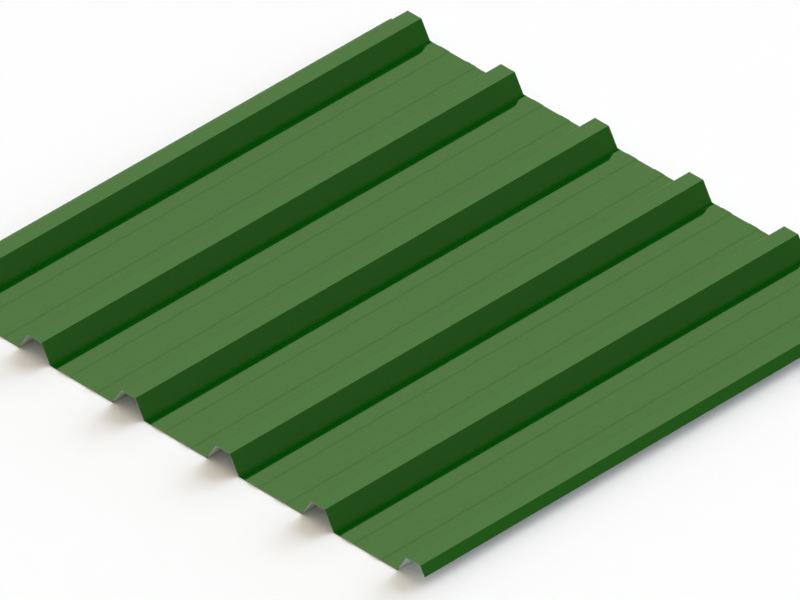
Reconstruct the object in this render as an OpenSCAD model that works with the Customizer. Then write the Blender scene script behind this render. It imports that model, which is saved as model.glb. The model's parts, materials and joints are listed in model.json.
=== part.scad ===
// Box profile sheet: one piece of coated steel strip, roll-formed into trapezoidal ribs.
// X runs across the ribs, Y along them and Z up. The sheet lies on its pans, and the
// origin is under the middle of it, on the surface that it lies on.

/* [Sheet] */
// Length of the sheet, along its ribs
sheet_length = 1000; // [300:10:3000]
// Thickness of the steel with its coatings
gauge = 0.7; // [0.4:0.05:1.2]

/* [Ribs] */
// Number of ribs across the sheet
rib_count = 6; // [2:1:8]
// Distance from the middle of one rib to the middle of the next
rib_pitch = 200; // [180:5:300]
// Height of the crowns above the pans, upper face to upper face
rib_depth = 32; // [20:1:45]
// Width of a crown between the sharp corners of its upper face
crown_width = 30; // [20:1:45]
// Angle of the webs from the horizontal
web_angle = 60; // [50:1:75]
// Radius on the inner side of the four bends of a rib
rib_bend_radius = 1; // [0.5:0.25:4]

/* [Swages] */
// Number of raised stiffening swages in each pan
swage_count = 2; // [0:1:2]
// Height of a swage above the pan
swage_height = 1; // [0.4:0.1:2]
// Width of a swage at half of its height
swage_width = 20.5; // [12:0.5:26]
// Width of the sloping side of a swage
swage_ramp = 4; // [2.5:0.25:6]
// Distance from the foot of a rib's right web to the middle of the first swage
swage_offset = 31.25; // [24:0.25:36]
// Distance from the middle of one swage to the middle of the next
swage_spacing = 57.5; // [40:0.5:60]
// Radius on the inner side of the bends of a swage
swage_bend_radius = 2; // [0.5:0.25:4]

/* [Side laps] */
// Width of the flat lip beyond the first rib, which goes under the next sheet
underlap_lip = 17; // [8:1:25]
// Drop of the short leg beyond the last crown, which goes over the next sheet
overlap_drop = 16; // [8:1:20]

/* [Hidden] */
// Largest turn, in degrees, between two flats of a bend
bend_step = 10;
// Paint on the upper face
coating_colour = "#53784d";
// Horizontal run of a whole web, and of the overlap leg
web_run = rib_depth / tan(web_angle);
overlap_run = overlap_drop / tan(web_angle);
// Overall width, and the middle of the first rib when the sheet is centred on X = 0
sheet_width = underlap_lip + web_run + crown_width + (rib_count - 1) * rib_pitch + overlap_run;
first_rib_x = underlap_lip + web_run + crown_width / 2 - sheet_width / 2;

// The profile is drawn by its upper face. A corner is [x, height above the pan, inner bend radius],
// with the place where the two flats would meet if the bend were sharp.
function rib_middle(i) = first_rib_x + i * rib_pitch;

function rib_rise(x) = [
    [x - crown_width / 2 - web_run, 0, rib_bend_radius],
    [x - crown_width / 2, rib_depth, rib_bend_radius],
    [x + crown_width / 2, rib_depth, rib_bend_radius],
];

function rib_foot(x) = [x + crown_width / 2 + web_run, 0, rib_bend_radius];

function swage(x) = [
    [x - (swage_width + swage_ramp) / 2, 0, swage_bend_radius],
    [x - (swage_width - swage_ramp) / 2, swage_height, swage_bend_radius],
    [x + (swage_width - swage_ramp) / 2, swage_height, swage_bend_radius],
    [x + (swage_width + swage_ramp) / 2, 0, swage_bend_radius],
];

// A rib, the foot of its right web and the swages of the pan beside it
function rib_and_pan(i) =
    let (foot = rib_foot(rib_middle(i)))
    [
        each rib_rise(rib_middle(i)),
        foot,
        for (k = [0 : 1 : swage_count - 1]) each swage(foot.x + swage_offset + k * swage_spacing),
    ];

// Corners of the whole profile, from the edge of the underlap lip to the tip of the overlap leg
function profile_corners() =
    let (last_x = rib_middle(rib_count - 1))
    [
        [-sheet_width / 2, 0, 0],
        for (i = [0 : 1 : rib_count - 2]) each rib_and_pan(i),
        each rib_rise(last_x),
        [last_x + crown_width / 2 + overlap_run, rib_depth - overlap_drop, 0],
    ];

// Direction, in degrees, of the flat that leaves corner i, and the unit vector square to a direction
function heading(corners, i) =
    atan2(corners[i + 1].y - corners[i].y, corners[i + 1].x - corners[i].x);

function square_to(angle) = [-sin(angle), cos(angle)];

function place(corner) = [corner.x, corner.y];

// Points of the bend at corner i, on the face that lies the given depth below the upper face
function bend(corners, i, below) =
    let (
        from = heading(corners, i - 1),
        turn = heading(corners, i) - from,
        side = sign(turn),
        upper_radius = corners[i].z + (side < 0 ? gauge : 0),
        face_radius = upper_radius + side * below,
        to_centre = side * upper_radius / cos(turn / 2),
        centre = place(corners[i]) + to_centre * square_to(from + turn / 2),
        steps = ceil(abs(turn) / bend_step)
    )
    [
        for (k = [0 : steps])
            centre - side * face_radius * square_to(from + turn * k / steps),
    ];

// One whole face of the strip, from left to right, cut square at both edges
function face(corners, below) =
    let (last = len(corners) - 1)
    [
        place(corners[0]) - below * square_to(heading(corners, 0)),
        for (i = [1 : last - 1]) each bend(corners, i, below),
        place(corners[last]) - below * square_to(heading(corners, last - 1)),
    ];

function reversed(points) = [for (i = [len(points) - 1 : -1 : 0]) points[i]];

module strip_section() {
    corners = profile_corners();
    polygon(concat(face(corners, 0), reversed(face(corners, gauge))));
}

module profiled_sheet() {
    color(coating_colour)
        translate([0, 0, gauge])
            rotate([90, 0, 0])
                linear_extrude(height = sheet_length, center = true)
                    strip_section();
}

profiled_sheet();
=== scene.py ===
"""Looks of a box profile sheet: green coil-coated steel with a grey backing coat, on a pale floor."""
import json
import math

import bpy
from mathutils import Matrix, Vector


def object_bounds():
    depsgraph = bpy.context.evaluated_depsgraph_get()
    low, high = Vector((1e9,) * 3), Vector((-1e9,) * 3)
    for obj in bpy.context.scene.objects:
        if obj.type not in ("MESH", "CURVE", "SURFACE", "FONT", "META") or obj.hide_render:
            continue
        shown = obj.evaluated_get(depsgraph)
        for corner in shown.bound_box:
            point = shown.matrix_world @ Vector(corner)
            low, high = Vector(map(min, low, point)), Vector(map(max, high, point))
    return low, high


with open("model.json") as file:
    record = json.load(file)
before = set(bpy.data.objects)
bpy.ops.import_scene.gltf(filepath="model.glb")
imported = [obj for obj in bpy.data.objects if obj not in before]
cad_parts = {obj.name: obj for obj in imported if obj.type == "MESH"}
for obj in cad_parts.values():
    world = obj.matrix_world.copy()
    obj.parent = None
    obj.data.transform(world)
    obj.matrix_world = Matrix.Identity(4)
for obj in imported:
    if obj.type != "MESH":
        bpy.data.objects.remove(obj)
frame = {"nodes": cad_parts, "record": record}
cad_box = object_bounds()

MM = 0.001

# Camera: the photograph is a parallel view, so a very long lens stands far off
VIEW_AZIMUTH = 45.09
VIEW_ELEVATION = 35.4
VIEW_DISTANCE = 42.835
VIEW_AIM = Vector((-5.6, -10.65, 0.0)) * MM
LENS = 1288.1

# Floor, a hair below the sheet so that the two never share a surface
FLOOR_SIDE = 40.0
FLOOR_DROP = 0.2 * MM
FLOOR_WHITE = "#FCFCFC"

# Sky: a dome whose light is full near its top and least at its edge, both in degrees from the top
DOME_WARM = "#FFF6E5"
BELOW_WHITE = "#FEFEFE"
DOME_TOP = Vector((-0.36, 0.43, 0.83)).normalized()
DOME_FULL = 16.3
DOME_EDGE = 74.0
DOME_HIGH = 1.155
DOME_LOW = 0.32

# Dark wall behind the sheet, paler to the right, with its X and Y on a sky of radius 1
WALL_DARK = 0.01
WALL_PALE = 0.323
WALL_DARK_X = -0.164
WALL_PALE_X = 0.8
WALL_NEAR_Y = 0.45
WALL_FAR_Y = 0.53

# The wall's left edge is a plane along the ribs, turned this far up from +X. A faint border comes in first
# and the full dark after it, by the distance to the right of that plane
WALL_EDGE = math.radians(130.4)
RIGHT_OF_EDGE = Vector((math.sin(WALL_EDGE), 0.0, -math.cos(WALL_EDGE)))
BORDER_OUTSIDE = -0.043
BORDER_INSIDE = -0.020
BORDER_SHARE = 0.13
DARK_OUTSIDE = 0.020
DARK_INSIDE = 0.048

# Round dark patch low down straight behind, full inside and gone outside, in degrees from its middle
PATCH_MIDDLE = Vector((0.0, 0.966, 0.259))
PATCH_INSIDE = 28.0
PATCH_OUTSIDE = 34.0

# Lamps
LAMP_COOL = "#E3EEFF"
BACK_AZIMUTH = 180.0
BACK_ELEVATION = 0.0
BACK_STRENGTH = 4.58
BACK_SPREAD = 50.0
GLOW_STRENGTH = 6.26
GLOW_SPREAD = 100.0

# Places on the sheet
mounts = {mount["name"]: mount["pos_m"] for mount in frame["record"]["mounts"]}
PAN_COUNT = 5
FIRST_RIB = mounts["underlap_crown"][0]
RIB_PITCH = (mounts["overlap_crown"][0] - FIRST_RIB) / PAN_COUNT
RIB_DEPTH = mounts["overlap_crown"][2]
PAN_TOP = cad_box[1][2] - RIB_DEPTH
CROWN_WIDTH = 30 * MM
WEB_ANGLE = math.radians(60)
FOOT_REACH = CROWN_WIDTH / 2 + RIB_DEPTH / math.tan(WEB_ANGLE)
FOOT_BEND = 6 * MM

# Limits of a face's unit normal: Z of the upper and lower faces, and X of a swage's sides
FACE_Z = 0.1
SWAGE_X = 0.35

# Finishes
TOPCOAT_GREEN = "#055006"
TOPCOAT_GREEN_DEEP = "#054C06"
TOPCOAT_SHEEN = "#BBFF9F"
TOPCOAT_IOR = 1.82
TOPCOAT_ROUGHNESS = 0.06
STREAK_DULLING = 0.2
BACKING_GREY = "#D2D6D6"
BACKING_GREY_DEEP = "#C6CACA"
BACKING_ROUGHNESS = 0.5
CUT_STEEL = "#A6A8A5"
CUT_STEEL_DULL = "#7F817E"
DRIFT_SIZE = 220 * MM
STREAK_WIDTH = 6 * MM
STREAK_LENGTH = 900 * MM
STREAK_SHARE = 0.4
GRAIN_SIZE = 0.6 * MM
SWAGE_SLOPE_KEPT = 0.16
BUCKLE_SIZE = 260 * MM
BUCKLE_HEIGHT = 0.25 * MM
PEEL_SIZE = 4 * MM
PEEL_HEIGHT = 0.003 * MM


def colour(code):
    """Linear RGBA of an sRGB hex colour."""
    parts = [int(code[i:i + 2], 16) / 255 for i in (1, 3, 5)]
    return [p / 12.92 if p <= 0.04045 else ((p + 0.055) / 1.055) ** 2.4 for p in parts] + [1.0]


def way(azimuth, elevation):
    """Unit vector from the sheet to a place at this azimuth, counted from the front round to the right."""
    turn = math.radians(azimuth)
    lift = math.radians(elevation)
    return Vector((math.sin(turn) * math.cos(lift), -math.cos(turn) * math.cos(lift), math.sin(lift)))


def near(degrees):
    """Dot product of two unit vectors that are this far apart."""
    return math.cos(math.radians(degrees))


def add(tree, kind, links=None, values=None, **settings):
    """Adds a node of this kind, sets it and its sockets, and links other nodes' outputs to it."""
    made = tree.nodes.new(kind)
    for name, value in settings.items():
        setattr(made, name, value)
    for socket, value in (values or {}).items():
        made.inputs[socket].default_value = value
    for socket, source in (links or {}).items():
        tree.links.new(source, made.inputs[socket])
    return made


def roller_streaks(tree, spot):
    """Faint streaks that the coating roller draws along the strip."""
    drawn_out = add(tree, "ShaderNodeVectorMath", {0: spot},
                    {1: (1 / STREAK_WIDTH, 1 / STREAK_LENGTH, 1 / STREAK_WIDTH)}, operation="MULTIPLY")
    streaks = add(tree, "ShaderNodeTexNoise", {"Vector": drawn_out.outputs[0]},
                  {"Scale": 1.0, "Detail": 2.0})
    return streaks.outputs["Fac"]


def coat_colour(tree, spot, streaks, upper, lower):
    """Green above, grey below and bare steel where the sheet was cut. Both coats vary in depth, by the
    streaks and by a slow drift over the coil."""
    drift = add(tree, "ShaderNodeTexNoise", {"Vector": spot},
                {"Scale": 1 / DRIFT_SIZE, "Detail": 3.0, "Roughness": 0.55})
    depth = add(tree, "ShaderNodeMix", {"A": drift.outputs["Fac"], "B": streaks}, {"Factor": STREAK_SHARE})
    green = add(tree, "ShaderNodeMix", {"Factor": depth.outputs["Result"]},
                {"A": colour(TOPCOAT_GREEN_DEEP), "B": colour(TOPCOAT_GREEN)}, data_type="RGBA")
    grey = add(tree, "ShaderNodeMix", {"Factor": depth.outputs["Result"]},
               {"A": colour(BACKING_GREY_DEEP), "B": colour(BACKING_GREY)}, data_type="RGBA")
    # Torn grain of the sheared edge
    grain = add(tree, "ShaderNodeTexNoise", {"Vector": spot}, {"Scale": 1 / GRAIN_SIZE})
    steel = add(tree, "ShaderNodeMix", {"Factor": grain.outputs["Fac"]},
                {"A": colour(CUT_STEEL_DULL), "B": colour(CUT_STEEL)}, data_type="RGBA")
    under = add(tree, "ShaderNodeMix",
                {"Factor": lower, "A": steel.outputs["Result"], "B": grey.outputs["Result"]},
                data_type="RGBA")
    paint = add(tree, "ShaderNodeMix",
                {"Factor": upper, "A": under.outputs["Result"], "B": green.outputs["Result"]},
                data_type="RGBA")
    return paint.outputs["Result"]


def coat_roughness(tree, streaks, upper):
    """The streaks dull the gloss a little, and the backing coat and bare steel have next to none."""
    gloss = add(tree, "ShaderNodeMapRange", {"Value": streaks},
                {"To Min": (1 - STREAK_DULLING) * TOPCOAT_ROUGHNESS,
                 "To Max": (1 + STREAK_DULLING) * TOPCOAT_ROUGHNESS})
    rough = add(tree, "ShaderNodeMix", {"Factor": upper, "B": gloss.outputs[0]}, {"A": BACKING_ROUGHNESS})
    return rough.outputs["Result"]


def eased_swages(tree, facing):
    """The rollers draw a swage out in a soft wave, so its sides turn the light less than flats would."""
    tilt = add(tree, "ShaderNodeMath", {0: facing.outputs["X"]}, operation="ABSOLUTE")
    gentle = add(tree, "ShaderNodeMath", {0: tilt.outputs[0]}, {1: SWAGE_X}, operation="LESS_THAN")
    kept = add(tree, "ShaderNodeMath", {0: gentle.outputs[0]}, {1: SWAGE_SLOPE_KEPT - 1.0, 2: 1.0},
               operation="MULTIPLY_ADD")
    across = add(tree, "ShaderNodeMath", {0: facing.outputs["X"], 1: kept.outputs[0]}, operation="MULTIPLY")
    eased = add(tree, "ShaderNodeCombineXYZ",
                {"X": across.outputs[0], "Y": facing.outputs["Y"], "Z": facing.outputs["Z"]})
    return add(tree, "ShaderNodeVectorMath", {0: eased.outputs[0]}, operation="NORMALIZE").outputs[0]


def soft_feet(tree, spot, normal, upper):
    """The rollers bring a web down to the pan in a wide soft bend. Distance along the strip is counted
    from the corner where the two meet: negative up the web and positive over the pan."""
    parts = add(tree, "ShaderNodeSeparateXYZ", {0: spot})
    along = add(tree, "ShaderNodeMath", {0: parts.outputs["X"]}, {1: FIRST_RIB}, operation="SUBTRACT")
    from_rib = add(tree, "ShaderNodeMath", {0: along.outputs[0]}, {1: RIB_PITCH / 2, 2: -RIB_PITCH / 2},
                   operation="WRAP")
    beside = add(tree, "ShaderNodeMath", {0: from_rib.outputs[0]}, operation="ABSOLUTE")
    past_foot = add(tree, "ShaderNodeMath", {0: beside.outputs[0]}, {1: FOOT_REACH}, operation="SUBTRACT")
    on_pan = add(tree, "ShaderNodeMath", {0: past_foot.outputs[0]}, {1: 0.0}, operation="MAXIMUM")
    rise = add(tree, "ShaderNodeMath", {0: parts.outputs["Z"]}, {1: PAN_TOP}, operation="SUBTRACT")
    on_web = add(tree, "ShaderNodeMath", {0: rise.outputs[0]}, {1: math.sin(WEB_ANGLE)}, operation="DIVIDE")
    from_foot = add(tree, "ShaderNodeMath", {0: on_pan.outputs[0], 1: on_web.outputs[0]},
                    operation="SUBTRACT")
    # Over the bend the strip turns evenly from the web's slope to level
    turn = add(tree, "ShaderNodeMapRange", {"Value": from_foot.outputs[0]},
               {"From Min": -FOOT_BEND, "From Max": FOOT_BEND, "To Min": WEB_ANGLE, "To Max": 0.0})
    side = add(tree, "ShaderNodeMath", {0: from_rib.outputs[0]}, operation="SIGN")
    lean = add(tree, "ShaderNodeMath", {0: turn.outputs[0]}, operation="SINE")
    sideways = add(tree, "ShaderNodeMath", {0: lean.outputs[0], 1: side.outputs[0]}, operation="MULTIPLY")
    upright = add(tree, "ShaderNodeMath", {0: turn.outputs[0]}, operation="COSINE")
    curved = add(tree, "ShaderNodeCombineXYZ", {"X": sideways.outputs[0], "Z": upright.outputs[0]})
    apart = add(tree, "ShaderNodeMath", {0: from_foot.outputs[0]}, operation="ABSOLUTE")
    close = add(tree, "ShaderNodeMath", {0: apart.outputs[0]}, {1: FOOT_BEND}, operation="LESS_THAN")
    in_bend = add(tree, "ShaderNodeMath", {0: close.outputs[0], 1: upper}, operation="MULTIPLY")
    bent = add(tree, "ShaderNodeMix", {"Factor": in_bend.outputs[0], "A": normal, "B": curved.outputs[0]},
               data_type="VECTOR")
    return bent.outputs["Result"]


def buckles_and_peel(tree, spot, normal):
    """Thin sheet never lies quite flat: long shallow buckles show as a slow wave in what it mirrors. The
    paint's orange peel is really about 1.5 mm from dimple to dimple, and drawn coarser so that it shows."""
    waves = add(tree, "ShaderNodeTexNoise", {"Vector": spot}, {"Scale": 1 / BUCKLE_SIZE, "Detail": 0.0})
    buckled = add(tree, "ShaderNodeBump", {"Height": waves.outputs["Fac"], "Normal": normal},
                  {"Distance": BUCKLE_HEIGHT})
    peel = add(tree, "ShaderNodeTexNoise", {"Vector": spot}, {"Scale": 1 / PEEL_SIZE, "Detail": 1.0})
    dimpled = add(tree, "ShaderNodeBump", {"Height": peel.outputs["Fac"], "Normal": buckled.outputs[0]},
                  {"Distance": PEEL_HEIGHT})
    return dimpled.outputs[0]


def coil_coated_steel():
    """Zinc-coated strip painted on the line before it is rolled. The upper face has a hard glossy green
    coat that mirrors its surroundings, the lower face a thin dull grey backing coat, and the shear left
    bare grey steel."""
    material = bpy.data.materials.new("coil_coated_steel")
    material.use_nodes = True
    tree = material.node_tree
    tree.nodes.clear()
    place = add(tree, "ShaderNodeTexCoord")
    spot = place.outputs["Object"]
    facing = add(tree, "ShaderNodeSeparateXYZ", {0: place.outputs["Normal"]})
    upper = add(tree, "ShaderNodeMath", {0: facing.outputs["Z"]}, {1: FACE_Z},
                operation="GREATER_THAN").outputs[0]
    lower = add(tree, "ShaderNodeMath", {0: facing.outputs["Z"]}, {1: -FACE_Z},
                operation="LESS_THAN").outputs[0]
    streaks = roller_streaks(tree, spot)
    paint = coat_colour(tree, spot, streaks, upper, lower)
    rough = coat_roughness(tree, streaks, upper)
    rolled = soft_feet(tree, spot, eased_swages(tree, facing), upper)
    relief = buckles_and_peel(tree, spot, rolled)
    surface = add(tree, "ShaderNodeBsdfPrincipled",
                  {"Base Color": paint, "Roughness": rough, "Normal": relief},
                  {"IOR": TOPCOAT_IOR, "Specular Tint": colour(TOPCOAT_SHEEN)})
    add(tree, "ShaderNodeOutputMaterial", {"Surface": surface.outputs["BSDF"]})
    return material


def studio_floor():
    """A wide floor of matt white paper that the part lies on."""
    bpy.ops.object.select_all(action="DESELECT")
    bpy.ops.mesh.primitive_plane_add(size=FLOOR_SIDE, location=(0, 0, -FLOOR_DROP))
    floor = bpy.context.object
    floor.name = "studio_floor"
    material = bpy.data.materials.new("matt_white_paper")
    material.use_nodes = True
    tree = material.node_tree
    tree.nodes.clear()
    surface = add(tree, "ShaderNodeBsdfDiffuse", values={"Color": colour(FLOOR_WHITE)})
    add(tree, "ShaderNodeOutputMaterial", {"Surface": surface.outputs["BSDF"]})
    floor.data.materials.append(material)


def dark_share(tree, sky, parts):
    """Share of the wall's tone in each direction of the sky: all on the wall and in the patch, a little on
    the border and none on the open dome."""
    right = add(tree, "ShaderNodeVectorMath", {0: sky}, {1: RIGHT_OF_EDGE}, operation="DOT_PRODUCT")
    border = add(tree, "ShaderNodeMapRange", {"Value": right.outputs["Value"]},
                 {"From Min": BORDER_OUTSIDE, "From Max": BORDER_INSIDE, "To Max": BORDER_SHARE},
                 interpolation_type="SMOOTHSTEP")
    inside = add(tree, "ShaderNodeMapRange", {"Value": right.outputs["Value"]},
                 {"From Min": DARK_OUTSIDE, "From Max": DARK_INSIDE, "To Max": 1.0 - BORDER_SHARE},
                 interpolation_type="SMOOTHSTEP")
    edged = add(tree, "ShaderNodeMath", {0: border.outputs[0], 1: inside.outputs[0]}, operation="ADD")
    far = add(tree, "ShaderNodeMapRange", {"Value": parts.outputs["Y"]},
              {"From Min": WALL_NEAR_Y, "From Max": WALL_FAR_Y}, interpolation_type="SMOOTHSTEP")
    walled = add(tree, "ShaderNodeMath", {0: edged.outputs[0], 1: far.outputs[0]}, operation="MULTIPLY")
    behind = add(tree, "ShaderNodeVectorMath", {0: sky}, {1: PATCH_MIDDLE}, operation="DOT_PRODUCT")
    patch = add(tree, "ShaderNodeMapRange", {"Value": behind.outputs["Value"]},
                {"From Min": near(PATCH_OUTSIDE), "From Max": near(PATCH_INSIDE)},
                interpolation_type="SMOOTHSTEP")
    share = add(tree, "ShaderNodeMath", {0: walled.outputs[0], 1: patch.outputs[0]}, operation="MAXIMUM")
    return share.outputs[0]


def studio_sky():
    """A warm soft dome, brightest high up on the left. The dark wall behind grows paler to the right, has a
    faint border on its left and is joined by a round patch. Below the horizon is plain white."""
    world = bpy.data.worlds.new("warm_soft_dome")
    bpy.context.scene.world = world
    world.use_nodes = True
    tree = world.node_tree
    tree.nodes.clear()
    sky = add(tree, "ShaderNodeTexCoord").outputs["Generated"]
    parts = add(tree, "ShaderNodeSeparateXYZ", {0: sky})
    up_left = add(tree, "ShaderNodeVectorMath", {0: sky}, {1: DOME_TOP}, operation="DOT_PRODUCT")
    dome = add(tree, "ShaderNodeMapRange", {"Value": up_left.outputs["Value"]},
               {"From Min": near(DOME_EDGE), "From Max": near(DOME_FULL), "To Min": DOME_LOW,
                "To Max": DOME_HIGH}, interpolation_type="SMOOTHSTEP")
    wall = add(tree, "ShaderNodeMapRange", {"Value": parts.outputs["X"]},
               {"From Min": WALL_DARK_X, "From Max": WALL_PALE_X, "To Min": WALL_DARK, "To Max": WALL_PALE})
    above = add(tree, "ShaderNodeMix",
                {"Factor": dark_share(tree, sky, parts), "A": dome.outputs[0], "B": wall.outputs[0]})
    below = add(tree, "ShaderNodeMath", {0: parts.outputs["Z"]}, {1: 0.0}, operation="LESS_THAN")
    level = add(tree, "ShaderNodeMix", {"Factor": below.outputs[0], "A": above.outputs["Result"]},
                {"B": 1.0})
    tone = add(tree, "ShaderNodeMix", {"Factor": below.outputs[0]},
               {"A": colour(DOME_WARM), "B": colour(BELOW_WHITE)}, data_type="RGBA")
    light = add(tree, "ShaderNodeBackground",
                {"Color": tone.outputs["Result"], "Strength": level.outputs["Result"]})
    add(tree, "ShaderNodeOutputWorld", {"Surface": light.outputs["Background"]})


def soft_lamp(name, strength, towards, spread):
    """A wide cool lamp, far off in this direction, that the gloss of the sheet doesn't mirror."""
    lamp = bpy.data.lights.new(name, "SUN")
    lamp.energy = strength
    lamp.color = colour(LAMP_COOL)[:3]
    lamp.angle = math.radians(spread)
    made = bpy.data.objects.new(name, lamp)
    made.rotation_mode = "QUATERNION"
    made.rotation_quaternion = (-towards).to_track_quat("-Z", "Y")
    made.visible_glossy = False
    bpy.context.scene.collection.objects.link(made)


def studio_lamps():
    """Two cool lamps low behind, one narrow and one wide, throw the shade of the ribs' ends forward."""
    behind = way(BACK_AZIMUTH, BACK_ELEVATION)
    soft_lamp("cool_back_light", BACK_STRENGTH, behind, BACK_SPREAD)
    soft_lamp("cool_back_glow", GLOW_STRENGTH, behind, GLOW_SPREAD)


def camera():
    """A long lens at the photograph's angle: equal angles to all three axes."""
    back = way(VIEW_AZIMUTH, VIEW_ELEVATION)
    data = bpy.data.cameras.new("camera")
    data.lens = LENS
    data.clip_end = 2 * VIEW_DISTANCE
    made = bpy.data.objects.new("camera", data)
    made.location = VIEW_AIM + back * VIEW_DISTANCE
    made.rotation_mode = "QUATERNION"
    made.rotation_quaternion = (-back).to_track_quat("-Z", "Y")
    bpy.context.scene.collection.objects.link(made)
    bpy.context.scene.camera = made


camera()
studio_floor()
studio_sky()
studio_lamps()
frame["nodes"]["profiled_sheet"].material_slots[0].material = coil_coated_steel()
bpy.context.scene.view_settings.view_transform = "Standard"
